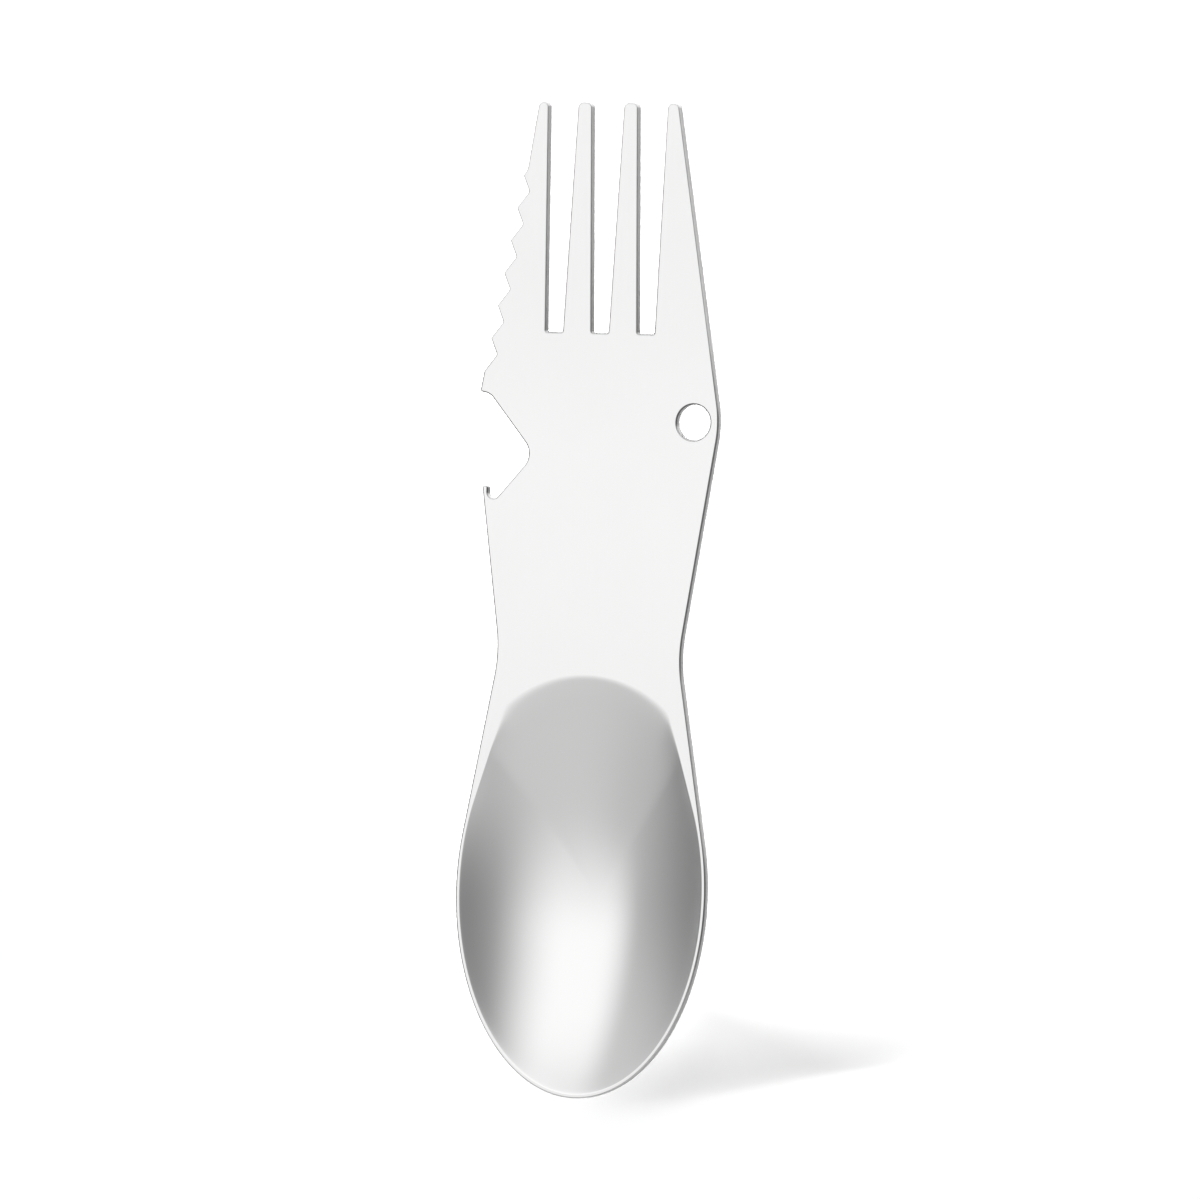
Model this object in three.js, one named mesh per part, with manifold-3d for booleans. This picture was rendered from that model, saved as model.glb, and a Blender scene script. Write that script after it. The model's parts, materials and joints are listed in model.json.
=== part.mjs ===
// One-piece spork: a stamped and pressed blank of stainless sheet with a four-tine fork, a saw edge,
// a bottle opener, a lanyard hole and a spoon bowl. Millimetres, +Z up, stored as it lies on a table.
import * as THREE from 'three';
import { mergeVertices } from 'three/addons/utils/BufferGeometryUtils.js';
import Module from 'manifold-3d';

// Driving dimensions. The blank is drawn flat: x across, y from the spoon's tip to the tine tips,
// with its front face at z = 0. Angles are in degrees.
const overallLength = 164.7;
const sheetThickness = 1.5;
const edgeBreak = 0.12; // chamfer that tumbling leaves on the stamped edges

// The spoon end's outline is an ellipse of these two half sizes
const bowlHalfWidth = 22.3;
const bowlHalfLength = 34;

// Waist and shoulders, to the corners under their roundings
const waistAboveBowl = 39.2; // from the ellipse's centre
const waistHalfWidth = 16.07;
const waistRadius = 25;
const shoulderHalfWidth = 21.87;
const shoulderRadius = 19;

// Fork
const forkLength = 52.5; // from the shoulders' corners to the tine tips
const forkTipHalfWidth = 12.6;
const tineLength = 38.2;
const slotRootWidth = 3.1;
const slotRootRadius = 0.4;
const innerTineRootWidth = 5.1;
const innerTineTipWidth = 2.45;
const outerTineTipWidth = 1.96;
const tineTipRadius = 0.9;

// Saw edge on the fork's left side
const toothCount = 7;
const toothPitch = 5.43; // along y
const toothDepth = 1.65; // across, from the fork's straight side
const toothTipRadius = 0.28;
const toothRootRadius = 0.55;
const lastToothAboveNotch = 3.46;
const sawReliefAtTip = 0.25; // the left tine's outer side is set in by this at its tip
const sawReliefAtTooth = 0.55; // and by this where the first tooth begins
const sawReliefRadius = 5;

// Bottle opener on the left shoulder. Its flanks' angles are from level.
const notchAboveShoulder = 4.2; // where its lip leaves the fork's side
const notchLipLength = 1.82;
const notchLipAngle = 10;
const notchUpperLength = 12.9; // from the lip to the corner under the root's rounding
const notchUpperAngle = 50;
const notchLowerAngle = 49;
const notchCornerRadius = 0.4;
const notchLipRadius = 3.2;
const notchRootRadius = 3;
const hookWidth = 1; // across its top
const hookRise = 3.9; // from the sharp corner of its pocket to its top
const hookPocketRadius = 1.1;
const hookPocketShare = 0.75; // the most of the hook's inner wall that the pocket's rounding takes up
const hookTipRadius = 0.3;

// Lanyard hole in the right shoulder
const holeDiameter = 6;
const holeWall = 1.4; // sheet left between the hole and the rounded shoulder

// Pressed bowl
const rimWidth = 0.48; // flat rim between the cut edge and the bowl's mouth
const backRimWidth = 0.1; // the same on the back, where the dome begins
const mouthBelowWaist = 3.15; // the arch's top, from the waist's corners
const mouthArchRadius = 21.7;
const mouthSideAngle = 17.3; // from the long axis
const mouthCornerRadius = 3;
const bowlDepth = 7;
const deepestAboveCentre = -0.75; // the bowl's deepest point, from the ellipse's centre
const bowlFullness = 2; // power of its section's curve: a larger one steepens the walls
const bowlBottomThickness = 1.4; // the sheet thins a little where it is drawn deepest
const cornerFade = 4; // power: with a larger one the mouth's corners show less far down
const lipSoftness = 0.15; // a larger value rounds the mouth's edge more
const archSoftness = 1.2; // the same under the arch, where the sheet is drawn in gently
const archSetsIn = 0.8; // upright part of the direction from the deepest point where that begins

// Facets and construction
const chordTolerance = 0.015;
const ringPoints = 96;
const bowlRings = 12;
const ringCrowding = 1.7; // above 1 the rings crowd towards the bowl's lip
const cutterStandOff = 1; // how far the bowl's cutter stands out of the front face
const edgeShare = 0.49; // the most of a straight edge that one corner's rounding takes up
const levelTolerance = 1e-9; // radians, for the tilt at rest

const point = (x, y) => new THREE.Vector2(x, y);
const radians = THREE.MathUtils.degToRad;
const falling = (length, degrees) =>
  point(length * Math.cos(radians(degrees)), -length * Math.sin(radians(degrees)));

// The straight edges of the handle and the fork, as half widths at a distance y from the spoon's tip
const waist = point(waistHalfWidth, bowlHalfLength + waistAboveBowl);
const shoulder = point(shoulderHalfWidth, overallLength - forkLength);
const forkTip = point(forkTipHalfWidth, overallLength);
const acrossAt = (from, to, y) => from.x + (to.x - from.x) * (y - from.y) / (to.y - from.y);
const handleEdge = (y) => acrossAt(waist, shoulder, y);
const forkEdge = (y) => acrossAt(shoulder, forkTip, y);

// Where the opener begins on the fork's side, and the bowl's deepest point
const notchTop = shoulder.y + notchAboveShoulder;
const deepest = point(0, bowlHalfLength + deepestAboveCentre);

// Fillet of a corner between two others: its centre, its tangent points and its radius, which the
// straight lengths on both sides limit
function fillet(previous, corner, next, wantedRadius, share = edgeShare) {
  const back = point(previous.x - corner.x, previous.y - corner.y);
  const ahead = point(next.x - corner.x, next.y - corner.y);
  const room = share * Math.min(back.length(), ahead.length());
  back.normalize();
  ahead.normalize();
  const halfAngle = Math.acos(back.dot(ahead)) / 2;
  const setback = Math.min(wantedRadius / Math.tan(halfAngle), room);
  const radius = setback * Math.tan(halfAngle);
  const middle = back.clone().add(ahead).normalize();
  return {
    radius,
    clockwise: back.cross(ahead) > 0,
    start: point(corner.x, corner.y).addScaledVector(back, setback),
    end: point(corner.x, corner.y).addScaledVector(ahead, setback),
    centre: point(corner.x, corner.y).addScaledVector(middle, radius / Math.sin(halfAngle)),
  };
}

// Draws a path through corners { x, y, r, share }, rounding all but the first and the last
function addRoundedCorners(path, corners) {
  for (let i = 1; i < corners.length - 1; i++) {
    const { radius, clockwise, start, end, centre } =
      fillet(corners[i - 1], corners[i], corners[i + 1], corners[i].r, corners[i].share);
    path.lineTo(start.x, start.y);
    path.absarc(centre.x, centre.y, radius, start.sub(centre).angle(), end.sub(centre).angle(), clockwise);
  }
  const last = corners[corners.length - 1];
  path.lineTo(last.x, last.y);
}

// Points of a closed path whose arcs stay within the chord tolerance
function flatten(path) {
  const points = [];
  for (const curve of path.curves) {
    let pieces = 1;
    if (curve.isEllipseCurve) {
      const radius = Math.max(curve.xRadius, curve.yRadius);
      const step = 2 * Math.acos(Math.max(1 - chordTolerance / radius, 0));
      pieces = Math.max(2, Math.ceil(curve.getLength() / (radius * step)));
    }
    for (const next of curve.getPoints(pieces).slice(0, -1)) {
      const last = points[points.length - 1];
      if (!last || last.distanceTo(next) > chordTolerance) points.push(next);
    }
  }
  return points;
}

// Fork: the tine tips and slot roots, from the right tine to the left one
function forkCorners() {
  const slotRoot = overallLength - tineLength;
  const innerTine = (slotRootWidth + innerTineRootWidth) / 2;
  const innerTineRoot = slotRootWidth / 2 + innerTineRootWidth;
  const tip = (x) => ({ x, y: overallLength, r: tineTipRadius });
  const root = (x) => ({ x, y: slotRoot, r: slotRootRadius });
  const right = [
    tip(forkTipHalfWidth),
    tip(forkTipHalfWidth - outerTineTipWidth),
    root(innerTineRoot + slotRootWidth),
    root(innerTineRoot),
    tip(innerTine + innerTineTipWidth / 2),
    tip(innerTine - innerTineTipWidth / 2),
    root(slotRootWidth / 2),
  ];
  const left = right.map((corner) => ({ ...corner, x: -corner.x })).reverse();
  left[left.length - 1].x += sawReliefAtTip;
  return [...right, ...left];
}

// Saw edge: a lead-in below the left tine's tip, then tooth tips on the fork's straight side
function sawCorners() {
  const lastTip = notchTop + lastToothAboveNotch;
  const firstTip = lastTip + (toothCount - 1) * toothPitch;
  const leadIn = firstTip + (toothPitch / 2) * (sawReliefAtTooth / toothDepth);
  const corners = [{ x: sawReliefAtTooth - forkEdge(leadIn), y: leadIn, r: sawReliefRadius }];
  for (let i = 0; i < toothCount; i++) {
    const tip = firstTip - i * toothPitch;
    const root = tip - toothPitch / 2;
    corners.push({ x: -forkEdge(tip), y: tip, r: toothTipRadius });
    if (i < toothCount - 1) corners.push({ x: toothDepth - forkEdge(root), y: root, r: toothRootRadius });
  }
  return corners;
}

// Bottle opener: a short lip, two flanks that meet in a rounded root, and a hook in line with the handle
function notchCorners() {
  const top = point(-forkEdge(notchTop), notchTop);
  const lipEnd = top.clone().add(falling(notchLipLength, notchLipAngle));
  const root = lipEnd.clone().add(falling(notchUpperLength, notchUpperAngle));
  // The hook's top edge leans with the handle, so its inner wall is where the two lines settle:
  // wall = hookWidth - handleEdge(pocket + hookRise), pocket = root.y - lowerSlope (root.x - wall)
  const lowerSlope = Math.tan(radians(notchLowerAngle));
  const lean = (shoulder.x - waist.x) / (shoulder.y - waist.y);
  const hookAtRoot = hookWidth - handleEdge(root.y - lowerSlope * root.x + hookRise);
  const wall = hookAtRoot / (1 + lean * lowerSlope);
  const pocket = root.y - lowerSlope * (root.x - wall);
  const hookTop = pocket + hookRise;
  return [
    { x: top.x, y: top.y, r: notchCornerRadius },
    { x: lipEnd.x, y: lipEnd.y, r: notchLipRadius },
    { x: root.x, y: root.y, r: notchRootRadius },
    { x: wall, y: pocket, r: hookPocketRadius, share: hookPocketShare },
    { x: wall, y: hookTop, r: hookTipRadius },
    { x: -handleEdge(hookTop), y: hookTop, r: hookTipRadius },
  ];
}

// Stamped outline, counter-clockwise: the right handle edge, the fork, the saw, the opener, the left
// handle edge and the spoon end's ellipse, which the edges below the waist touch
function blankShape() {
  // At the touching angle the line x/a cos + (y - b)/b sin = 1 passes through the waist's corner
  const across = waist.x / bowlHalfWidth;
  const along = (waist.y - bowlHalfLength) / bowlHalfLength;
  const touch = Math.atan2(along, across) - Math.acos(1 / Math.hypot(across, along));
  const flank = point(bowlHalfWidth * Math.cos(touch), bowlHalfLength * (1 + Math.sin(touch)));
  const outline = new THREE.Path();
  outline.moveTo(flank.x, flank.y);
  addRoundedCorners(outline, [
    flank,
    { x: waist.x, y: waist.y, r: waistRadius },
    { x: shoulder.x, y: shoulder.y, r: shoulderRadius },
    ...forkCorners(),
    ...sawCorners(),
    ...notchCorners(),
    { x: -waist.x, y: waist.y, r: waistRadius },
    point(-flank.x, flank.y),
  ]);
  outline.absellipse(0, bowlHalfLength, bowlHalfWidth, bowlHalfLength,
    Math.PI - touch, 2 * Math.PI + touch, false);

  const rounding = fillet(waist, shoulder, forkTip, shoulderRadius);
  const holeRadius = holeDiameter / 2;
  const holeX = rounding.centre.x + rounding.radius - holeWall - holeRadius;
  const hole = new THREE.Path();
  hole.absarc(holeX, shoulder.y, holeRadius, 0, 2 * Math.PI, true);

  const shape = new THREE.Shape(flatten(outline));
  shape.holes.push(new THREE.Path(flatten(hole)));
  return shape;
}

// Bowl's mouth on the front, or the dome's base on the back: the spoon end's ellipse set in by a rim,
// straight sides that leave it at an angle, and an arch with rounded corners under the waist
function mouthPath(rim) {
  const a = bowlHalfWidth - rim;
  const b = bowlHalfLength - rim;
  const wider = rimWidth - rim;
  const sideAngle = radians(mouthSideAngle);
  const touch = Math.atan(Math.tan(sideAngle) * b / a);
  const side = point(a * Math.cos(touch), bowlHalfLength + b * Math.sin(touch));
  const archRadius = mouthArchRadius + wider;
  const archCentre = point(0, waist.y - mouthBelowWaist + wider - archRadius);

  // A corner's arc touches the straight side and, from within, the arch
  const cornerRadius = mouthCornerRadius + wider;
  const up = point(-Math.sin(sideAngle), Math.cos(sideAngle));
  const inwards = point(-up.y, up.x);
  const start = side.addScaledVector(inwards, cornerRadius).sub(archCentre);
  const rise = start.dot(up);
  const reach = archRadius - cornerRadius;
  const corner = start.addScaledVector(up, Math.sqrt(rise ** 2 - start.lengthSq() + reach ** 2) - rise);
  const archStart = corner.angle();
  corner.add(archCentre);

  const path = new THREE.Path();
  path.absellipse(0, bowlHalfLength, a, b, Math.PI - touch, 2 * Math.PI + touch, false);
  path.absarc(corner.x, corner.y, cornerRadius, sideAngle, archStart, false);
  path.absarc(0, archCentre.y, archRadius, archStart, Math.PI - archStart, false);
  path.absarc(-corner.x, corner.y, cornerRadius, Math.PI - archStart, Math.PI - sideAngle, false);
  path.closePath();
  return path;
}

// Ring of the bowl at a share s of the way from its deepest point to its mouth, at heights that may
// depend on the direction. Towards the bottom the mouth's corners fade into two half ellipses.
function bowlRing(mouth, s, heightTowards) {
  const halfWidth = Math.max(...mouth.map((p) => p.x));
  const above = Math.max(...mouth.map((p) => p.y)) - deepest.y;
  const below = deepest.y - Math.min(...mouth.map((p) => p.y));
  return mouth.map((p) => {
    const way = p.clone().sub(deepest);
    const reach = way.length();
    way.normalize();
    const round = 1 / Math.hypot(way.x / halfWidth, way.y / (way.y > 0 ? above : below));
    const radius = s * THREE.MathUtils.lerp(round, reach, s ** cornerFade);
    return new THREE.Vector3(way.x * radius, deepest.y + way.y * radius, heightTowards(way));
  });
}

// Depth of a bowl at a share s in one direction: a power curve whose edge a hyperbola rounds
function bowlDrop(s, way, fullDepth) {
  const towardsArch = THREE.MathUtils.smoothstep(way.y, archSetsIn, 1);
  const softness = THREE.MathUtils.lerp(lipSoftness, archSoftness, towardsArch);
  const scale = Math.sqrt(fullDepth ** 2 + 2 * fullDepth * softness); // full depth in every direction
  return Math.hypot(scale * (1 - s ** bowlFullness), softness) - softness;
}

// Closed solid through rings from top to bottom, with a point in the middle of each end
function loft(rings, top, bottom) {
  const count = rings[0].length;
  const vertices = [...rings.flat(), top, bottom];
  const triangles = [];
  for (let i = 0; i < count; i++) {
    const j = (i + 1) % count;
    for (let k = 0; k < rings.length - 1; k++) {
      const upper = k * count;
      const lower = upper + count;
      triangles.push(upper + i, lower + i, lower + j, upper + i, lower + j, upper + j);
    }
    const lowest = (rings.length - 1) * count;
    triangles.push(vertices.length - 2, i, j, lowest + i, vertices.length - 1, lowest + j);
  }
  const geometry = new THREE.BufferGeometry().setFromPoints(vertices);
  geometry.setIndex(triangles);
  return geometry;
}

// Bowl-shaped solid below a level, with an upright wall on its mouth
function bowlSolid(rim, wallTop, level, fullDepth) {
  const mouth = mouthPath(rim).getSpacedPoints(ringPoints).slice(0, ringPoints);
  const rings = [bowlRing(mouth, 1, () => wallTop)];
  for (let k = 0; k < bowlRings; k++) {
    const s = 1 - (k / bowlRings) ** ringCrowding;
    rings.push(bowlRing(mouth, s, (way) => level - bowlDrop(s, way, fullDepth)));
  }
  const middle = (z) => new THREE.Vector3(deepest.x, deepest.y, z);
  return loft(rings, middle(wallTop), middle(level - fullDepth));
}

// Inside of the bowl
function bowlCutter() {
  return bowlSolid(rimWidth, cutterStandOff, 0, bowlDepth);
}

// Back of the bowl, which stands out of the back face
function bowlDome() {
  const height = bowlDepth + bowlBottomThickness - sheetThickness;
  return bowlSolid(backRimWidth, -sheetThickness / 2, -sheetThickness, height);
}

// Flat blank with broken edges
function blankPlate() {
  const plate = new THREE.ExtrudeGeometry(blankShape(), {
    depth: sheetThickness - 2 * edgeBreak,
    bevelThickness: edgeBreak,
    bevelSize: edgeBreak,
    bevelOffset: -edgeBreak,
    bevelSegments: 1,
  });
  return plate.translate(0, 0, edgeBreak - sheetThickness);
}

const wasm = await Module();
wasm.setup();

function solidOf(geometry) {
  const bare = geometry.clone();
  bare.deleteAttribute('normal');
  bare.deleteAttribute('uv');
  const merged = mergeVertices(bare);
  return new wasm.Manifold(new wasm.Mesh({
    numProp: 3,
    vertProperties: merged.getAttribute('position').array,
    triVerts: new Uint32Array(merged.index.array),
  }));
}

function geometryOf(solid) {
  const { vertProperties, triVerts } = solid.getMesh();
  const geometry = new THREE.BufferGeometry();
  geometry.setAttribute('position', new THREE.BufferAttribute(vertProperties, 3));
  geometry.setIndex(new THREE.BufferAttribute(triVerts, 1));
  geometry.computeVertexNormals();
  return geometry;
}

// Tilt about x at which the lowest points of the bowl's half and of the fork's half are level
function restTilt(geometry) {
  const positions = geometry.getAttribute('position');
  const vertex = new THREE.Vector3();
  const xAxis = new THREE.Vector3(1, 0, 0);
  let tilt = 0;
  for (let turn = 1; Math.abs(turn) > levelTolerance;) {
    const lowest = [new THREE.Vector3(0, 0, Infinity), new THREE.Vector3(0, 0, Infinity)];
    for (let i = 0; i < positions.count; i++) {
      vertex.fromBufferAttribute(positions, i);
      const half = lowest[vertex.y < waist.y ? 0 : 1];
      vertex.applyAxisAngle(xAxis, tilt);
      if (vertex.z < half.z) half.copy(vertex);
    }
    turn = Math.atan2(lowest[0].z - lowest[1].z, lowest[1].y - lowest[0].y);
    tilt += turn;
  }
  return tilt;
}

const blank = solidOf(blankPlate()).add(solidOf(bowlDome())).subtract(solidOf(bowlCutter()));
const stainless = new THREE.MeshStandardMaterial({ color: 0xd6d6d4, roughness: 0.35, metalness: 1 });
const spork = new THREE.Mesh(geometryOf(blank), stainless);
spork.name = 'spork';

// Lying on a table, bowl up, resting on the dome and the tine tips, with the origin under its middle
spork.rotation.x = restTilt(spork.geometry);
spork.updateMatrixWorld(true);
const box = new THREE.Box3().setFromObject(spork, true);
const middle = box.getCenter(new THREE.Vector3());
spork.position.set(-middle.x, -middle.y, -box.min.z);

const cutlery = new THREE.Group();
cutlery.add(spork);
export default cutlery;
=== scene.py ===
# One-piece spork of stamped and pressed stainless sheet, lying bowl up on a pale table
import json

import bpy
import numpy as np
from mathutils import Matrix, Vector
from mathutils.geometry import delaunay_2d_cdt


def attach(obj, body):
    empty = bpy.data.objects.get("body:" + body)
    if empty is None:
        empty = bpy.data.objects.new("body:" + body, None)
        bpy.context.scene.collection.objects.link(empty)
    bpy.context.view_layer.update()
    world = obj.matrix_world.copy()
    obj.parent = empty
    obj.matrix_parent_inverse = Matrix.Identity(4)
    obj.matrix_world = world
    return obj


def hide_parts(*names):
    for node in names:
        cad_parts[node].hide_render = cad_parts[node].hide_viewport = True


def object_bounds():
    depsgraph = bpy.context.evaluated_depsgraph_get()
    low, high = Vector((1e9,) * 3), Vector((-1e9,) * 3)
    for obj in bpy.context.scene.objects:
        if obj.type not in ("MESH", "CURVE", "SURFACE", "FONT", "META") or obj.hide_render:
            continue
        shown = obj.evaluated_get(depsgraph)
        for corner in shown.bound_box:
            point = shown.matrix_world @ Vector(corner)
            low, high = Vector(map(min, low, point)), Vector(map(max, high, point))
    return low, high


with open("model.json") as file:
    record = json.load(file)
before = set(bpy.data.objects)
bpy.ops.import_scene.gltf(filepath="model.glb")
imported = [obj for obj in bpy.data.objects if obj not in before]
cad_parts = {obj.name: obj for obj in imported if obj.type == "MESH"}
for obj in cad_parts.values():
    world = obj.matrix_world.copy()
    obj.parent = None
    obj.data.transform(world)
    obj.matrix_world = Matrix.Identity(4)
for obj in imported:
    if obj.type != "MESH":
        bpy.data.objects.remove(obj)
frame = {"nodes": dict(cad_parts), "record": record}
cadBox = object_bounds()
print("frame loaded:", sorted(frame["nodes"]))

# The sheet in its flat blank, millimetres and degrees: x across, y from the spoon's tip, front face at z = 0
blank = {
    "length": 164.7, "thickness": 1.5, "edgeRound": 0.22,
    "cornerShare": 0.49,  # the most of a straight edge that one corner's rounding takes up
    "bowlHalfWidth": 22.3, "bowlHalfLength": 34.0,  # ellipse of the spoon end
    "waistAboveBowl": 39.2, "waistHalfWidth": 16.07, "waistRadius": 25.0,
    "shoulderHalfWidth": 21.87, "shoulderRadius": 19.0,
    "forkLength": 52.5, "forkTipHalfWidth": 12.6, "tineLength": 38.2, "tineTipRadius": 0.9,
    "slotRootWidth": 3.1, "slotRootRadius": 0.4,
    "innerTineRoot": 5.1, "innerTineTip": 2.45, "outerTineTip": 1.96,
    "toothCount": 7, "toothPitch": 5.43, "toothDepth": 1.65, "toothTipRadius": 0.28, "toothRootRadius": 0.55,
    "lastToothAboveNotch": 3.46, "reliefAtTip": 0.25, "reliefAtTooth": 0.55, "reliefRadius": 5.0,
    "notchAboveShoulder": 4.2, "lipLength": 1.82, "lipAngle": 10.0, "lipRadius": 3.2, "lipCornerRadius": 0.4,
    "upperLength": 12.9, "upperAngle": 50.0, "lowerAngle": 49.0, "notchRootRadius": 3.0,
    "hookWidth": 1.0, "hookRise": 3.9, "hookTipRadius": 0.3,
    "hookPocketRadius": 1.1, "hookPocketShare": 0.75,
    "holeDiameter": 6.0, "holeWall": 1.4,
    "rim": 0.54, "backRim": 0.32,  # flat between the cut edge and the bowl, in front and behind
    "mouthBelowWaist": 3.15, "archRadius": 21.7, "mouthSideAngle": 17.3, "mouthCornerRadius": 3.0,
    "bowlDepth": 7.0, "deepestAboveCentre": -0.75, "fullness": 2.0, "bottomThickness": 1.395,
    "lipSoftness": 0.07, "domeSoftness": 0.3, "archSoftness": 1.2,  # hyperbolas that round the bowl's edge
    "archSetsIn": 0.8,  # where the arch's softness begins, as the y of a direction from the deepest point
    "pressedWithin": 1.0,  # depth below the flat over which the finish turns from brushed to grained
    "mountAlong": 92.0,  # where the record's handle mount lies on the sheet
    "arcSteps": 16, "tipSteps": 280, "holeSteps": 96, "edgeSteps": 9, "mergeWithin": 1e-7,
    "mouthSteps": 360, "bowlRings": 64, "ringCrowding": 1.7, "sidePoints": 600, "cornerPoints": 60,
    "archPoints": 200,
}
perMetre = 1000  # millimetres
micrometre = 1e-6  # metres

# The sheet's place in the frame, from the flat of the handle that the record states as a mount
handle = next(m for m in frame["record"]["mounts"] if m["name"] == "handle_front")
sheetUp = np.array(handle["axis"], float)
sheetAcross = np.array([1.0, 0.0, 0.0])
sheetAlong = np.cross(sheetUp, sheetAcross)
sheetOrigin = np.array(handle["pos_m"], float) - sheetAlong * blank["mountAlong"] / perMetre


# Blank to frame: each coordinate runs along one of the sheet's three directions, in metres
def turned(vectors):
    return vectors[..., :1] * sheetAcross + vectors[..., 1:2] * sheetAlong + vectors[..., 2:] * sheetUp


def placed(points):
    return sheetOrigin + turned(np.asarray(points, float)) / perMetre


def unit(v):
    return v / np.linalg.norm(v, axis=-1, keepdims=True)


# Rounded corners x, y, radius, share: a tangent arc on the bisector of each corner, whose radius is limited
# by its share of the straight lengths
def fillets(corners):
    here, radius, most = corners[1:-1, :2], corners[1:-1, 2], corners[1:-1, 3]
    back, ahead = corners[:-2, :2] - here, corners[2:, :2] - here
    room = most * np.minimum(np.linalg.norm(back, axis=1), np.linalg.norm(ahead, axis=1))
    back, ahead = unit(back), unit(ahead)
    half = np.arccos((back * ahead).sum(1)) / 2
    setback = np.minimum(radius / np.tan(half), room)
    radius = setback * np.tan(half)
    centre = here + unit(back + ahead) * (radius / np.sin(half))[:, None]
    start = here + back * setback[:, None] - centre
    turn = np.sign(ahead[:, 0] * back[:, 1] - ahead[:, 1] * back[:, 0])
    return centre, radius, np.arctan2(start[:, 1], start[:, 0]), turn * (np.pi - 2 * half), turn


# Path through rounded corners: the arcs' points, each with the radius as its outward normal
def roundedPath(corners, steps):
    centre, radius, first, sweep, turn = fillets(corners)
    angle = first[:, None] + sweep[:, None] * np.linspace(0, 1, steps)
    radial = np.stack([np.cos(angle), np.sin(angle)], -1)
    points = centre[:, None] + radius[:, None, None] * radial
    return points.reshape(-1, 2), (turn[:, None, None] * radial).reshape(-1, 2)


# The corners of waist, shoulder and tine tip, and the straight edges between them as half widths at y
def straightEdges(b):
    waist = np.array([b["waistHalfWidth"], b["bowlHalfLength"] + b["waistAboveBowl"]])
    shoulder = np.array([b["shoulderHalfWidth"], b["length"] - b["forkLength"]])
    tip = np.array([b["forkTipHalfWidth"], b["length"]])

    def between(p, q):
        return lambda y: p[0] + (q[0] - p[0]) * (y - p[1]) / (q[1] - p[1])

    return waist, shoulder, tip, between(waist, shoulder), between(shoulder, tip)


# Tine tips and slot roots from the right tine to the left one, as corners x, y, radius
def forkCorners(b, tip):
    top, root = b["length"], b["length"] - b["tineLength"]
    middle = (b["slotRootWidth"] + b["innerTineRoot"]) / 2
    innerRoot = b["slotRootWidth"] / 2 + b["innerTineRoot"]
    tipRadius, rootRadius = b["tineTipRadius"], b["slotRootRadius"]
    right = np.array([
        [tip[0], top, tipRadius],
        [tip[0] - b["outerTineTip"], top, tipRadius],
        [innerRoot + b["slotRootWidth"], root, rootRadius],
        [innerRoot, root, rootRadius],
        [middle + b["innerTineTip"] / 2, top, tipRadius],
        [middle - b["innerTineTip"] / 2, top, tipRadius],
        [b["slotRootWidth"] / 2, root, rootRadius],
    ])
    left = right[::-1] * [-1, 1, 1]
    left[-1, 0] += b["reliefAtTip"]
    return np.vstack([right, left])


# Saw: tips on the fork's straight side at one pitch, roots half a pitch below and one depth in
def sawCorners(b, notchTop, forkEdge):
    tips = notchTop + b["lastToothAboveNotch"] + b["toothPitch"] * np.arange(b["toothCount"])[::-1]
    roots = tips[:-1] - b["toothPitch"] / 2
    leadIn = tips[0] + b["toothPitch"] / 2 * b["reliefAtTooth"] / b["toothDepth"]
    saw = np.zeros((2 * len(tips), 3))
    saw[0] = [b["reliefAtTooth"] - forkEdge(leadIn), leadIn, b["reliefRadius"]]
    saw[1::2] = np.stack([-forkEdge(tips), tips, np.full(len(tips), b["toothTipRadius"])], 1)
    saw[2::2] = np.stack(
        [b["toothDepth"] - forkEdge(roots), roots, np.full(len(roots), b["toothRootRadius"])], 1)
    return saw


# Opener: a short lip, two flanks that meet in a rounded root, and a hook in line with the handle
def notchCorners(b, notchTop, waist, shoulder, handleEdge, forkEdge):
    def falling(length, degrees):
        return length * np.array([np.cos(np.radians(degrees)), -np.sin(np.radians(degrees))])

    lipStart = np.array([-forkEdge(notchTop), notchTop])
    lipEnd = lipStart + falling(b["lipLength"], b["lipAngle"])
    root = lipEnd + falling(b["upperLength"], b["upperAngle"])
    slope = np.tan(np.radians(b["lowerAngle"]))
    lean = (shoulder[0] - waist[0]) / (shoulder[1] - waist[1])
    hookAtRoot = b["hookWidth"] - handleEdge(root[1] - slope * root[0] + b["hookRise"])
    wall = hookAtRoot / (1 + lean * slope)
    pocket = root[1] - slope * (root[0] - wall)
    hookTop = pocket + b["hookRise"]
    return np.array([
        [*lipStart, b["lipCornerRadius"]],
        [*lipEnd, b["lipRadius"]],
        [*root, b["notchRootRadius"]],
        [wall, pocket, b["hookPocketRadius"]],
        [wall, hookTop, b["hookTipRadius"]],
        [-handleEdge(hookTop), hookTop, b["hookTipRadius"]],
    ])


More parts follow.
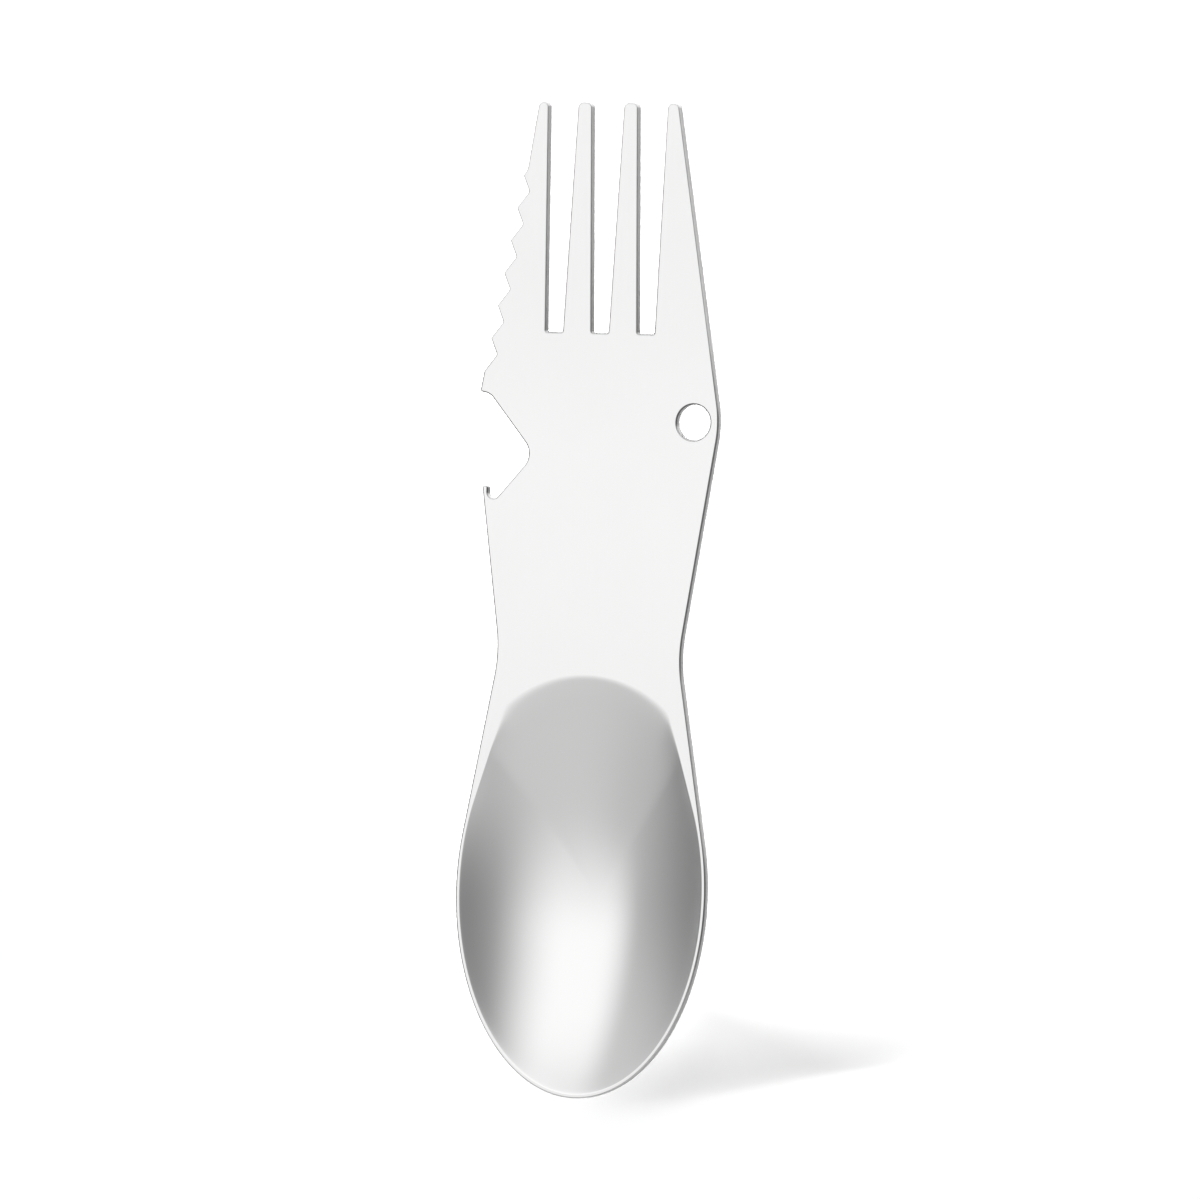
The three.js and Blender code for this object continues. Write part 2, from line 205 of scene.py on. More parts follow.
# Stamped outline, counter-clockwise: right edge, fork, saw, opener, left edge, then the spoon end's ellipse,
# which the straight edges below the waist touch
def outline(b):
    waist, shoulder, tip, handleEdge, forkEdge = straightEdges(b)
    notchTop = shoulder[1] + b["notchAboveShoulder"]
    halfWidth, halfLength = b["bowlHalfWidth"], b["bowlHalfLength"]
    across, along = waist[0] / halfWidth, (waist[1] - halfLength) / halfLength
    touch = np.arctan2(along, across) - np.arccos(1 / np.hypot(across, along))
    flank = np.array([halfWidth * np.cos(touch), halfLength * (1 + np.sin(touch)), 0])
    corners = np.vstack([
        flank,
        [*waist, b["waistRadius"]],
        [*shoulder, b["shoulderRadius"]],
        forkCorners(b, tip),
        sawCorners(b, notchTop, forkEdge),
        notchCorners(b, notchTop, waist, shoulder, handleEdge, forkEdge),
        [-waist[0], waist[1], b["waistRadius"]],
        flank * [-1, 1, 1],
    ])
    shares = np.where(corners[:, 2] == b["hookPocketRadius"], b["hookPocketShare"], b["cornerShare"])
    points, normals = roundedPath(np.column_stack([corners, shares]), b["arcSteps"])
    angle = np.linspace(np.pi - touch, 2 * np.pi + touch, b["tipSteps"])
    spoon = np.stack([halfWidth * np.cos(angle), halfLength * (1 + np.sin(angle))], 1)
    spoonNormals = unit(np.stack([np.cos(angle) / halfWidth, np.sin(angle) / halfLength], 1))
    return np.vstack([points, spoon]), np.vstack([normals, spoonNormals])


# Lanyard hole: a clockwise circle that leaves an even wall to the shoulder's rounding
def hole(b):
    waist, shoulder, tip, _, _ = straightEdges(b)
    corners = np.array([[*waist, 0, 0], [*shoulder, b["shoulderRadius"], b["cornerShare"]], [*tip, 0, 0]])
    centre, radius = fillets(corners)[:2]
    holeRadius = b["holeDiameter"] / 2
    middle = np.array([centre[0, 0] + radius[0] - b["holeWall"] - holeRadius, shoulder[1]])
    angle = -2 * np.pi * np.arange(b["holeSteps"]) / b["holeSteps"]
    radial = np.stack([np.cos(angle), np.sin(angle)], 1)
    return middle + holeRadius * radial, -radial


# Bowl's mouth: the spoon end's ellipse set in by a rim, straight sides at an angle, an arch with rounded
# corners under the waist, all laid out again at even steps
def mouth(b, rim):
    halfWidth, halfLength = b["bowlHalfWidth"] - rim, b["bowlHalfLength"] - rim
    wider = b["rim"] - rim
    side = np.radians(b["mouthSideAngle"])
    touch = np.arctan(np.tan(side) * halfLength / halfWidth)
    bowlCentre = np.array([0, b["bowlHalfLength"]])
    sidePoint = bowlCentre + [halfWidth * np.cos(touch), halfLength * np.sin(touch)]
    archRadius = b["archRadius"] + wider
    archTop = b["bowlHalfLength"] + b["waistAboveBowl"] - b["mouthBelowWaist"] + wider
    archCentre = np.array([0, archTop - archRadius])
    cornerRadius = b["mouthCornerRadius"] + wider
    up = np.array([-np.sin(side), np.cos(side)])
    start = sidePoint + cornerRadius * np.array([-up[1], up[0]]) - archCentre
    rise = start @ up
    corner = start + up * (np.sqrt(rise ** 2 - start @ start + (archRadius - cornerRadius) ** 2) - rise)
    archStart = np.arctan2(corner[1], corner[0])
    corner = corner + archCentre

    def arc(centre, radii, first, last, count):
        angle = np.linspace(first, last, count)
        return centre + np.multiply(radii, np.stack([np.cos(angle), np.sin(angle)], 1))

    ellipse = arc(bowlCentre, (halfWidth, halfLength), np.pi - touch, 2 * np.pi + touch, b["sidePoints"])
    rightCorner = arc(corner, cornerRadius, side, archStart, b["cornerPoints"])
    arch = arc(archCentre, archRadius, archStart, np.pi - archStart, b["archPoints"])
    leftCorner = rightCorner[::-1] * [-1, 1]
    path = np.vstack([ellipse, rightCorner, arch, leftCorner, ellipse[:1]])
    run = np.concatenate([[0], np.cumsum(np.linalg.norm(np.diff(path, axis=0), axis=1))])
    at = np.linspace(0, run[-1], b["mouthSteps"], endpoint=False)
    return np.stack([np.interp(at, run, path[:, 0]), np.interp(at, run, path[:, 1])], 1)


# Bowl surface over share s and place on the mouth: each ring is the mouth drawn in towards the deepest
# point. It fades into two half ellipses, the k-th wave of its departure from them as s to the power of k.
# Its depth is a power curve of s, rounded at the mouth by a hyperbola that is wider under the arch.
def bowlGrid(b, rim, level, rise, softness):
    ring = mouth(b, rim)
    deepest = np.array([0, b["bowlHalfLength"] + b["deepestAboveCentre"]])
    offset = ring - deepest
    reach = np.linalg.norm(offset, axis=1)
    way = offset / reach[:, None]
    above, below = ring[:, 1].max() - deepest[1], deepest[1] - ring[:, 1].min()
    oval = 1 / np.hypot(way[:, 0] / ring[:, 0].max(), way[:, 1] / np.where(way[:, 1] > 0, above, below))
    share = (1 - (np.arange(b["bowlRings"]) / b["bowlRings"]) ** b["ringCrowding"])[:, None]
    waves = np.fft.rfft(reach / oval)
    radius = share * oval * np.fft.irfft(waves * share ** np.arange(len(waves)), len(ring))
    flat = deepest + radius[..., None] * way
    towards = np.clip((way[:, 1] - b["archSetsIn"]) / (1 - b["archSetsIn"]), 0, 1)
    soft = softness + (b["archSoftness"] - softness) * towards ** 2 * (3 - 2 * towards)
    full = np.sqrt(rise ** 2 + 2 * rise * soft)  # so that the bottom is as deep in every direction
    drop = np.hypot(full * (1 - share ** b["fullness"]), soft) - soft
    grid = np.concatenate([flat, (level - drop)[..., None]], -1)
    return grid, np.array([[*deepest, level - rise]])


# Normals of that surface: the cross product of its two directions, level at the mouth and at the pole
def bowlNormals(grid, pole, facing):
    inwards = np.gradient(grid, axis=0)
    inwards[-1] = pole - grid[-2]
    around = np.roll(grid, -1, 1) - np.roll(grid, 1, 1)
    normals = unit(np.cross(inwards, around))
    normals *= facing * np.sign(normals[..., 2:])
    normals[0] = [0, 0, facing]
    return normals


# Cut edge carried along a path: a quarter round in front, the wall, a quarter round behind
def edgeSweep(points, normals, b):
    quarter = np.linspace(0, np.pi / 2, b["edgeSteps"])
    angle = np.concatenate([quarter, quarter + np.pi / 2])[:, None]
    inset = b["edgeRound"] * (1 - np.sin(angle))
    frontZ = -b["edgeRound"] * (1 - np.cos(angle))
    backZ = b["edgeRound"] * (1 + np.cos(angle)) - b["thickness"]
    level = np.where(np.arange(len(angle))[:, None] < b["edgeSteps"], frontZ, backZ)
    flat = points - inset[..., None] * normals
    swept = np.concatenate([flat, np.broadcast_to(level[..., None], flat.shape[:2] + (1,))], -1)
    outward = np.sin(angle)[..., None] * normals
    lift = np.broadcast_to(np.cos(angle)[..., None], flat.shape[:2] + (1,))
    return swept, np.concatenate([outward, lift], -1)


# Quads between neighbouring rings of a closed grid, and triangles from its last ring to a pole
def ringQuads(first, rings, count):
    k, i = np.meshgrid(np.arange(rings - 1), np.arange(count), indexing="ij")
    j = (i + 1) % count
    quads = np.stack([k * count + i, (k + 1) * count + i, (k + 1) * count + j, k * count + j], -1)
    return first + quads.reshape(-1, 4)


def poleFan(first, rings, count):
    i = np.arange(count)
    last = first + (rings - 1) * count
    return np.stack([last + i, np.full(count, first + rings * count), last + (i + 1) % count], 1)


# Flat face between an outer ring and round ones: a constrained triangulation, without the triangles whose
# corners all lie on one inner ring
def flatFace(rings, firsts, mergeWithin):
    points = np.vstack([ring[:, :2] for ring in rings])
    starts = np.cumsum([0] + [len(ring) for ring in rings[:-1]])
    edges = [(s + i, s + (i + 1) % len(r)) for s, r in zip(starts, rings) for i in range(len(r))]
    made = delaunay_2d_cdt([Vector(p) for p in points], edges, [], 1, mergeWithin)
    index = np.concatenate([first + np.arange(len(ring)) for ring, first in zip(rings, firsts)])
    owner = np.repeat(np.arange(len(rings)), [len(ring) for ring in rings])
    triangles = np.array([ids[0] for ids in made[3]])[np.array(made[2])]
    owners = owner[triangles]
    inHole = (owners[:, 0] > 0) & (owners == owners[:, :1]).all(1)
    return index[triangles[~inHole]]


def makeSpork(b):
    edge, edgeNormals = edgeSweep(*outline(b), b)
    bore, boreNormals = edgeSweep(*hole(b), b)
    inside, insidePole = bowlGrid(b, b["rim"], 0, b["bowlDepth"], b["lipSoftness"])
    domeRise = b["bowlDepth"] + b["bottomThickness"] - b["thickness"]
    dome, domePole = bowlGrid(b, b["backRim"], -b["thickness"], domeRise, b["domeSoftness"])
    insideNormals = bowlNormals(inside, insidePole, 1)
    domeNormals = bowlNormals(dome, domePole, -1)

    grids = [edge, bore, inside, insidePole, dome, domePole]
    normals = [edgeNormals, boreNormals, insideNormals, [[0, 0, 1.0]], domeNormals, [[0, 0, -1.0]]]
    sizes = [np.asarray(g).reshape(-1, 3).shape[0] for g in grids]
    edgeAt, boreAt, insideAt, _, domeAt, _ = np.cumsum([0] + sizes[:-1])
    points = np.vstack([np.asarray(g).reshape(-1, 3) for g in grids])
    pointNormals = np.vstack([np.asarray(n, float).reshape(-1, 3) for n in normals])

    lastEdge = edgeAt + (len(edge) - 1) * edge.shape[1]
    lastBore = boreAt + (len(bore) - 1) * bore.shape[1]
    front = flatFace([edge[0], bore[0], inside[0]], [edgeAt, boreAt, insideAt], b["mergeWithin"])
    back = flatFace([edge[-1], bore[-1], dome[0]], [lastEdge, lastBore, domeAt], b["mergeWithin"])
    faces = [
        ringQuads(edgeAt, *edge.shape[:2]), ringQuads(boreAt, *bore.shape[:2]), front, back[:, ::-1],
        ringQuads(insideAt, *inside.shape[:2])[:, ::-1], poleFan(insideAt, *inside.shape[:2])[:, ::-1],
        ringQuads(domeAt, *dome.shape[:2]), poleFan(domeAt, *dome.shape[:2]),
    ]
    mesh = bpy.data.meshes.new("spork_sheet")
    mesh.from_pydata(placed(points).tolist(), [], [f for part in faces for f in part.tolist()])
    mesh.polygons.foreach_set("use_smooth", np.ones(len(mesh.polygons), bool))

    # how far a point is drawn out of the flat, how far through the sheet it lies, how steep the cut edge is
    drawn = np.zeros(len(points))
    drawn[insideAt:domeAt] = -points[insideAt:domeAt, 2]
    drawn[domeAt:] = -points[domeAt:, 2] - b["thickness"]
    pressed = np.clip(drawn / b["pressedWithin"], 0, 1)
    through = np.clip(-points[:, 2] / b["thickness"], 0, 1)
    steep = np.where(np.arange(len(points)) < insideAt, 1 - abs(pointNormals[:, 2]), 0)
    for name, values in (("pressed", pressed), ("through", through), ("steep", steep)):
        mesh.attributes.new(name, "FLOAT", "POINT").data.foreach_set("value", values.astype(np.float32))
    mesh.validate()
    mesh.normals_split_custom_set_from_vertices(turned(pointNormals).tolist())
    piece = bpy.data.objects.new("spork_body", mesh)
    bpy.context.scene.collection.objects.link(piece)
    print("sheet made:", len(points), "points,", len(mesh.polygons), "faces")
    return piece


# Shorthand for node trees: a node with its settings and socket values, and one arithmetic step
def addNode(tree, kind, settings=None, **sockets):
    node = tree.nodes.new(kind)
    for name, value in (settings or {}).items():
        setattr(node, name, value)
    for name, value in sockets.items():
        feed(tree, node.inputs[name.replace("_", " ")], value)
    return node


def feed(tree, socket, value):
    if isinstance(value, bpy.types.NodeSocket):
        tree.links.new(value, socket)
    else:
        socket.default_value = value


def calc(tree, operation, first, second=0.0, third=0.0):
    node = addNode(tree, "ShaderNodeMath", {"operation": operation})
    for socket, value in zip(node.inputs, (first, second, third)):
        feed(tree, socket, value)
    return node.outputs[0]


# Smooth step: low below the first limit, high above the second
def ramp(tree, value, limits, low=0.0, high=1.0):
    node = addNode(tree, "ShaderNodeMapRange", {"interpolation_type": "SMOOTHSTEP"})
    names = ("Value", "From Min", "From Max", "To Min", "To Max")
    for name, number in zip(names, (value, *limits, low, high)):
        feed(tree, node.inputs[name], number)
    return node.outputs["Result"]


def newGroup(name, inputs, outputs):
    group = bpy.data.node_groups.new(name, "ShaderNodeTree")
    for label, kind in inputs:
        group.interface.new_socket(label, in_out="INPUT", socket_type=kind)
    for label in outputs:
        group.interface.new_socket(label, in_out="OUTPUT", socket_type="NodeSocketFloat")
    return group, group.nodes.new("NodeGroupInput"), group.nodes.new("NodeGroupOutput")


# Noise in the finish: its octaves, and the limits between which it counts as a scratch or a patch
scratchNoise = {"Detail": 3.0, "Roughness": 0.6}
scratchLimits = (0.3, 0.7)
patchNoise = {"Detail": 4.0, "Roughness": 0.55, "Distortion": 0.4}
patchLimits = (0.35, 0.7)


# Drawn scratches: noise stretched by a different number of waves per metre along each axis
def scratchGroup():
    sockets = [("Vector", "NodeSocketVector"), ("Waves", "NodeSocketVector")]
    group, given, result = newGroup("drawn scratches", sockets, ["Streaks"])
    scaled = addNode(group, "ShaderNodeVectorMath", {"operation": "MULTIPLY"})
    group.links.new(given.outputs["Vector"], scaled.inputs[0])
    group.links.new(given.outputs["Waves"], scaled.inputs[1])
    noise = addNode(group, "ShaderNodeTexNoise", Vector=scaled.outputs[0], Scale=1.0, **scratchNoise)
    group.links.new(ramp(group, noise.outputs["Fac"], scratchLimits), result.inputs["Streaks"])
    return group


# Handling: broad soft patches where the finish has been touched and wiped
def handlingGroup():
    sockets = [("Vector", "NodeSocketVector"), ("Waves", "NodeSocketFloat")]
    group, given, result = newGroup("handling", sockets, ["Patches"])
    noise = addNode(group, "ShaderNodeTexNoise", Vector=given.outputs["Vector"],
                    Scale=given.outputs["Waves"], **patchNoise)
    group.links.new(ramp(group, noise.outputs["Fac"], patchLimits), result.inputs["Patches"])
    return group


def newMaterial(name):
    material = bpy.data.materials.new(name)
    material.use_nodes = True
    tree = material.node_tree
    tree.nodes.clear()
    return material, tree, addNode(tree, "ShaderNodeOutputMaterial")


def addGroup(tree, group, **sockets):
    return addNode(tree, "ShaderNodeGroup", {"node_tree": group}, **sockets)


# Mixes of two values and of two colours, each a socket or a constant
def mixed(tree, factor, low, high):
    return addNode(tree, "ShaderNodeMix", Factor=factor, A=low, B=high).outputs[0]


def tinted(tree, factor, low, high):
    mix = addNode(tree, "ShaderNodeMix", {"data_type": "RGBA"}, Factor=factor)
    for socket, colour in zip(mix.inputs[6:8], (low, high)):  # its two colour sockets
        feed(tree, socket, (*colour, 1) if isinstance(colour, tuple) else colour)
    return mix.outputs[2]


# Faces of the sheet: satin, finely brushed along the handle, a touch darker on the fork as painted shade,
# with an even grain where it is pressed
satin = {
    "flatDark": (0.862, 0.862, 0.859), "flatLight": (0.926, 0.926, 0.923),
    "bowlDark": (0.84, 0.84, 0.837), "bowlLight": (0.892, 0.892, 0.889),
    "textureTone": 0.1, "patchTone": 0.06, "forkPaintedShade": 0.75,  # shares of the dark tone
    "forkAlong": (0.015, 0.06),
    "brushWaves": (7000.0, 240.0, 7000.0), "grainWaves": (4200.0, 4200.0, 4200.0), "patchWaves": 38.0,
    "flatRoughness": 0.16, "bowlRoughness": 0.15, "brushRoughness": 0.02, "patchRoughness": 0.02,
    "brushHeight": 0.3, "grainHeight": 0.06,  # micrometres
}

# Sheared wall of the sheet: fine lines through its thickness and a darker, smoother strip near the front.
# Its dark tones are partly the cut steel's own and partly painted shade, standing in for the dark
# surroundings that the wall reflects. Its lighter strip on the fork is painted light. The lighter tones
# round the spoon's tip and where the wall faces the fork's end are painted light. The near black at the
# rounding on the left of handle and spoon is painted shade.
sheared = {
    "steepness": (0.002, 0.02),
    "strip": (0.19, 0.19, 0.19), "torn": (0.46, 0.46, 0.458), "stripEnd": (0.12, 0.4), "ragged": 0.35,
    "forkPaintedLightStrip": (0.5, 0.5, 0.498), "forkAlong": (0.034, 0.046),
    "tipPaintedLight": (0.66, 0.66, 0.658), "tipPaintedLightAlong": (-0.074, -0.052),
    "forkFacingPaintedLight": (0.9, 0.9, 0.898), "forkFacingLightLimits": (0.05, 0.4),
    "leftPaintedShade": (0.05, 0.05, 0.05), "leftShadeGlance": (0.1, 0.1, 0.1),
    "leftShadeFacing": (-0.01, -0.15), "leftShadeEnd": (0.11, 0.18),
    "lineWaves": (5200.0, 5200.0, 500.0), "roughness": 0.34, "lineRoughness": 0.18, "lineHeight": 7.5,
}


def stampedSteel():
    material, tree, output = newMaterial("stamped steel")
    scratches, handling = scratchGroup(), handlingGroup()
    coordinates = addNode(tree, "ShaderNodeTexCoord").outputs
    place = coordinates["Object"]
    brush = addGroup(tree, scratches, Vector=place, Waves=satin["brushWaves"]).outputs["Streaks"]
    grain = addGroup(tree, scratches, Vector=place, Waves=satin["grainWaves"]).outputs["Streaks"]
    lines = addGroup(tree, scratches, Vector=place, Waves=sheared["lineWaves"]).outputs["Streaks"]
    patches = addGroup(tree, handling, Vector=place, Waves=satin["patchWaves"]).outputs["Patches"]
    pressed = addNode(tree, "ShaderNodeAttribute", {"attribute_name": "pressed"}).outputs["Fac"]
    through = addNode(tree, "ShaderNodeAttribute", {"attribute_name": "through"}).outputs["Fac"]
    steep = addNode(tree, "ShaderNodeAttribute", {"attribute_name": "steep"}).outputs["Fac"]
    wall = ramp(tree, steep, sheared["steepness"])

    texture = mixed(tree, pressed, brush, grain)
    along = addNode(tree, "ShaderNodeSeparateXYZ", Vector=place).outputs["Y"]
    # darker fork face: painted shade
    forkShade = ramp(tree, along, satin["forkAlong"], 0.0, satin["forkPaintedShade"])
    uneven = calc(tree, "MULTIPLY_ADD", patches, satin["patchTone"], forkShade)
    tone = calc(tree, "MULTIPLY_ADD", texture, satin["textureTone"], uneven)
    flatColour = tinted(tree, tone, satin["flatLight"], satin["flatDark"])
    bowlColour = tinted(tree, tone, satin["bowlLight"], satin["bowlDark"])
    faceColour = tinted(tree, pressed, flatColour, bowlColour)
    base = ramp(tree, pressed, (0.0, 1.0), satin["flatRoughness"], satin["bowlRoughness"])
    brushed = calc(tree, "MULTIPLY_ADD", texture, satin["brushRoughness"], base)
    faceRoughness = calc(tree, "MULTIPLY_ADD", patches, satin["patchRoughness"], brushed)

    torn = ramp(tree, through, sheared["stripEnd"])
    ragged = calc(tree, "MULTIPLY_ADD", calc(tree, "MULTIPLY", lines, patches), -sheared["ragged"], torn)
    onFork = ramp(tree, along, sheared["forkAlong"])
    # strip and torn tones: partly the cut steel's own, partly painted shade; the lighter strip on the fork
    # is painted light
    stripColour = tinted(tree, onFork, sheared["strip"], sheared["forkPaintedLightStrip"])
    cutColour = tinted(tree, ramp(tree, ragged, (0.0, 1.0)), stripColour, sheared["torn"])
    facing = addNode(tree, "ShaderNodeSeparateXYZ", Vector=coordinates["Normal"]).outputs
    # near-black wall at the front rounding on the left of handle and spoon: painted shade
    leftwards = calc(tree, "MULTIPLY", ramp(tree, facing["X"], sheared["leftShadeFacing"]), wall)
    frontEdge = ramp(tree, through, sheared["leftShadeEnd"], 1.0, 0.0)
    offFork = calc(tree, "SUBTRACT", 1.0, onFork)
    leftPaintedShade = calc(tree, "MULTIPLY", calc(tree, "MULTIPLY", leftwards, frontEdge), offFork)
    leftShadeColour = tinted(tree, leftPaintedShade, cutColour, sheared["leftPaintedShade"])
    # lighter wall where it faces the fork's end, by its normal: painted light
    forkFacingLightMask = ramp(tree, facing["Y"], sheared["forkFacingLightLimits"])
    forkFacingLightColour = tinted(tree, forkFacingLightMask, leftShadeColour, sheared["forkFacingPaintedLight"])
    # lighter wall round the spoon's tip: painted light
    tipPaintedLightMask = ramp(tree, along, sheared["tipPaintedLightAlong"], 1.0, 0.0)
    wallColour = tinted(tree, tipPaintedLightMask, forkFacingLightColour, sheared["tipPaintedLight"])
    wallRoughness = calc(tree, "MULTIPLY_ADD", lines, sheared["lineRoughness"], sheared["roughness"])

    faceHeight = mixed(tree, pressed, calc(tree, "MULTIPLY", brush, satin["brushHeight"]),
                       calc(tree, "MULTIPLY", grain, satin["grainHeight"]))
    micrometres = mixed(tree, wall, faceHeight, calc(tree, "MULTIPLY", lines, sheared["lineHeight"]))
    bump = addNode(tree, "ShaderNodeBump", Strength=1.0, Distance=micrometre, Height=micrometres)
    # its specular tint darkens glancing reflections at that left rounding, as painted shade
    steel = addNode(tree, "ShaderNodeBsdfPrincipled", Metallic=1.0,
                    Base_Color=tinted(tree, wall, faceColour, wallColour),
                    Roughness=mixed(tree, wall, faceRoughness, wallRoughness),
                    Specular_Tint=tinted(tree, leftPaintedShade, (1.0, 1.0, 1.0), sheared["leftShadeGlance"]),
                    Normal=bump.outputs["Normal"])
    tree.links.new(steel.outputs["BSDF"], output.inputs["Surface"])
    return material


# Pale table: matt and just white in the keys' light, with a trace of glow for the camera, so that only the
# shadow is grey. The steel reflects it darker, with a glow of its own.
table = {"halfSize": 6.0, "colour": (0.3, 0.3, 0.3), "glow": 0.01,
         "mirroredColour": (0.15, 0.15, 0.15), "mirroredGlow": 0.1}


def makeTable():
    half, level = table["halfSize"], cadBox[0].z
    corners = [(-half, -half, level), (half, -half, level), (half, half, level), (-half, half, level)]
    mesh = bpy.data.meshes.new("table_top")
    mesh.from_pydata(corners, [], [(0, 1, 2, 3)])
    material, tree, output = newMaterial("pale table")
    rays = addNode(tree, "ShaderNodeLightPath").outputs
    seen = calc(tree, "MAXIMUM", rays["Is Camera Ray"], rays["Is Transmission Ray"])
    mirrored = calc(tree, "MULTIPLY", rays["Is Glossy Ray"], table["mirroredGlow"])
    colour = tinted(tree, rays["Is Glossy Ray"], table["colour"], table["mirroredColour"])
    matt = addNode(tree, "ShaderNodeBsdfDiffuse", Color=colour)
    glow = addNode(tree, "ShaderNodeEmission", Color=(1, 1, 1, 1),
                   Strength=calc(tree, "MULTIPLY_ADD", seen, table["glow"], mirrored))
    both = addNode(tree, "ShaderNodeAddShader")
    tree.links.new(matt.outputs[0], both.inputs[0])
    tree.links.new(glow.outputs[0], both.inputs[1])
    # from below the table is clear
    clear = addNode(tree, "ShaderNodeBsdfTransparent")
    sides = addNode(tree, "ShaderNodeMixShader")
    tree.links.new(addNode(tree, "ShaderNodeNewGeometry").outputs["Backfacing"], sides.inputs[0])
    tree.links.new(both.outputs[0], sides.inputs[1])
    tree.links.new(clear.outputs[0], sides.inputs[2])
    tree.links.new(sides.outputs[0], output.inputs["Surface"])
    mesh.materials.append(material)
    top = bpy.data.objects.new("table_top", mesh)
    bpy.context.scene.collection.objects.link(top)
    print("table made")


# Studio: a broad soft panel overhead, from the left of the object to its right and on past the fork, in a
# grey room that is darker at the object's two sides. Panel edges are slopes dx/dz and dy/dz of a direction.
# The dark sides begin at angles from upright in radians and end where this angle and a share of the
# direction's y add up to a limit.
studio = {
    "panelLeft": (-1.225, -0.523), "panelRight": (-0.104, 0.65), "panelNear": (-0.325, 0.214),
    "panelFar": (0.548, 1.579), "panelLow": (0.02, 0.15), "panelLevel": 1.098,
    "roomLevel": 0.64, "leastRise": 0.05,
    "right": {"side": 1.0, "level": 0.18, "from": (-0.172, 0.977), "to": (1.1, 1.5), "along": 0.38,
              "spread": (0.326, 0.891)},
    "left": {"side": -1.0, "level": 0.106, "from": (0.195, 2.03), "to": (1.9, 2.4), "along": -0.066,
             "spread": (0.026, 0.642)},
    "alongShare": 0.9,
}


def makeStudio():
    world = bpy.data.worlds.new("studio")
    bpy.context.scene.world = world
    world.use_nodes = True
    tree = world.node_tree
    tree.nodes.clear()
    way = addNode(tree, "ShaderNodeTexCoord").outputs["Generated"]
    x, y, z = addNode(tree, "ShaderNodeSeparateXYZ", Vector=way).outputs
    rise = calc(tree, "MAXIMUM", z, studio["leastRise"])
    across, along = calc(tree, "DIVIDE", x, rise), calc(tree, "DIVIDE", y, rise)
    rightFade = ramp(tree, across, studio["panelRight"], 1.0, 0.0)
    farFade = ramp(tree, along, studio["panelFar"], 1.0, 0.0)
    width = calc(tree, "MULTIPLY", ramp(tree, across, studio["panelLeft"]), rightFade)
    length = calc(tree, "MULTIPLY", ramp(tree, along, studio["panelNear"]), farFade)
    panel = calc(tree, "MULTIPLY", calc(tree, "MULTIPLY", width, length), ramp(tree, z, studio["panelLow"]))
    room = studio["roomLevel"]
    for dark in (studio["right"], studio["left"]):
        away = calc(tree, "ABSOLUTE", calc(tree, "SUBTRACT", y, dark["along"]))
        band = ramp(tree, away, dark["spread"], 1.0, 0.0)
        lean = calc(tree, "ARCTAN2", calc(tree, "MULTIPLY", x, dark["side"]), z)
        reach = calc(tree, "MULTIPLY_ADD", calc(tree, "ABSOLUTE", y), studio["alongShare"], lean)
        ending = ramp(tree, reach, dark["to"], 1.0, 0.0)
        beside = calc(tree, "MULTIPLY", ramp(tree, lean, dark["from"]), ending)
        room = mixed(tree, calc(tree, "MULTIPLY", band, beside), room, dark["level"])
    level = mixed(tree, panel, room, studio["panelLevel"])
    seen = addNode(tree, "ShaderNodeLightPath").outputs["Is Camera Ray"]
    light = addNode(tree, "ShaderNodeBackground", Color=(1, 1, 1, 1), Strength=mixed(tree, seen, level, 1.0))
    output = addNode(tree, "ShaderNodeOutputWorld")
    tree.links.new(light.outputs[0], output.inputs["Surface"])
    print("studio made")


# Lamps for the table alone: a row of keys on the left, one under the other, whose shadows fall to the right
# as one wedge, and a spot from the right over the fork and the handle that lights them out except at the
# spoon's tip. A key leans by its slopes dx/dz and dy/dz from high to low. All keys give the table the same
# light, and their width shrinks with the lean so that all the shadows' ends are equally soft.
keys = {"count": 20, "high": (-0.36, 0.35), "low": (-4.8, -0.7), "light": 8.6, "softness": 0.5}
fill = {"aim": (0.0, 0.06, 0.0), "way": (0.42, 0.0, 1.0), "distance": 1.3,
        "inner": 0.1305, "outer": 0.1358, "size": 0.012, "power": 300.0}


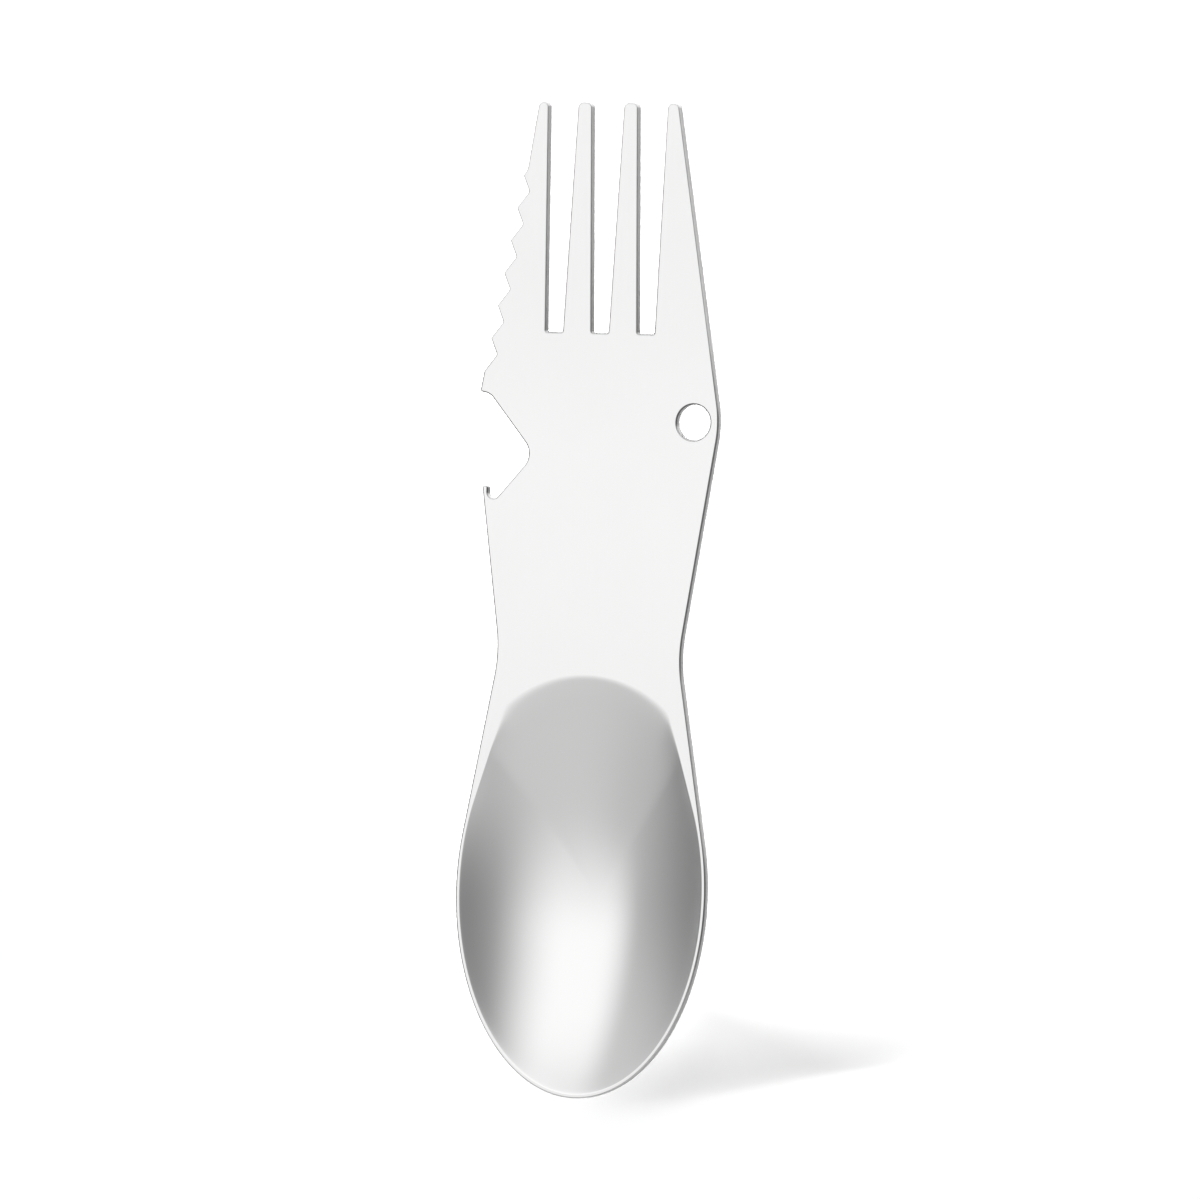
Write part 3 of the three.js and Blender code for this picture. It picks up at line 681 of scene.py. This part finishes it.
def addLamp(name, kind, matrix, **settings):
    data = bpy.data.lights.new(name, kind)
    for label, value in settings.items():
        setattr(data, label, value)
    lamp = bpy.data.objects.new(name, data)
    lamp.matrix_world = matrix
    lamp.visible_glossy = False
    bpy.context.scene.collection.objects.link(lamp)


def aimed(way):
    return Vector(way).to_track_quat("Z", "Y").to_matrix().to_4x4()


def makeLamps():
    for lean in np.linspace(keys["high"], keys["low"], keys["count"]):
        stretch = 1 + lean @ lean
        addLamp("key", "SUN", aimed((*lean, 1.0)), angle=keys["softness"] / stretch,
                energy=keys["light"] / keys["count"] * np.sqrt(stretch))
    place = Vector(fill["aim"]) + Vector(fill["way"]).normalized() * fill["distance"]
    cone = 2 * np.arctan(fill["outer"] / fill["distance"])
    blend = 1 - (fill["inner"] / fill["outer"]) ** 2
    addLamp("fill", "SPOT", Matrix.Translation(place) @ aimed(fill["way"]), energy=fill["power"],
            spot_size=cone, spot_blend=blend, shadow_soft_size=fill["size"])
    print("lamps made")


# Camera over the object's right side: a long lens, turned from the sheet's upright and rolled a little
view = {"aim": (1.755, 82.46, 0.0), "turn": 22.45, "roll": 2.06, "distance": 1569.5,
        "lens": 285.0, "sensor": 36.0}


def makeCamera():
    turn, roll = np.radians(view["turn"]), np.radians(view["roll"])
    back = np.array([np.sin(turn), 0, np.cos(turn)])
    level = np.array([np.cos(turn), 0, -np.sin(turn)])
    along = np.array([0, 1.0, 0])
    right = np.cos(roll) * level + np.sin(roll) * along
    up = np.cos(roll) * along - np.sin(roll) * level
    data = bpy.data.cameras.new("camera")
    data.lens, data.sensor_width = view["lens"], view["sensor"]
    camera = bpy.data.objects.new("camera", data)
    axes = turned(np.stack([right, up, back]))
    place = placed(view["aim"] + view["distance"] * back)
    camera.matrix_world = Matrix(np.column_stack([axes.T, place]).tolist() + [[0, 0, 0, 1]])
    bpy.context.scene.collection.objects.link(camera)
    bpy.context.scene.camera = camera
    print("camera made")


makeCamera()
makeTable()
makeStudio()
makeLamps()
spork = makeSpork(blank)
spork.data.materials.append(stampedSteel())
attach(spork, "root")
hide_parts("spork")
bpy.context.scene.view_settings.view_transform = "Standard"
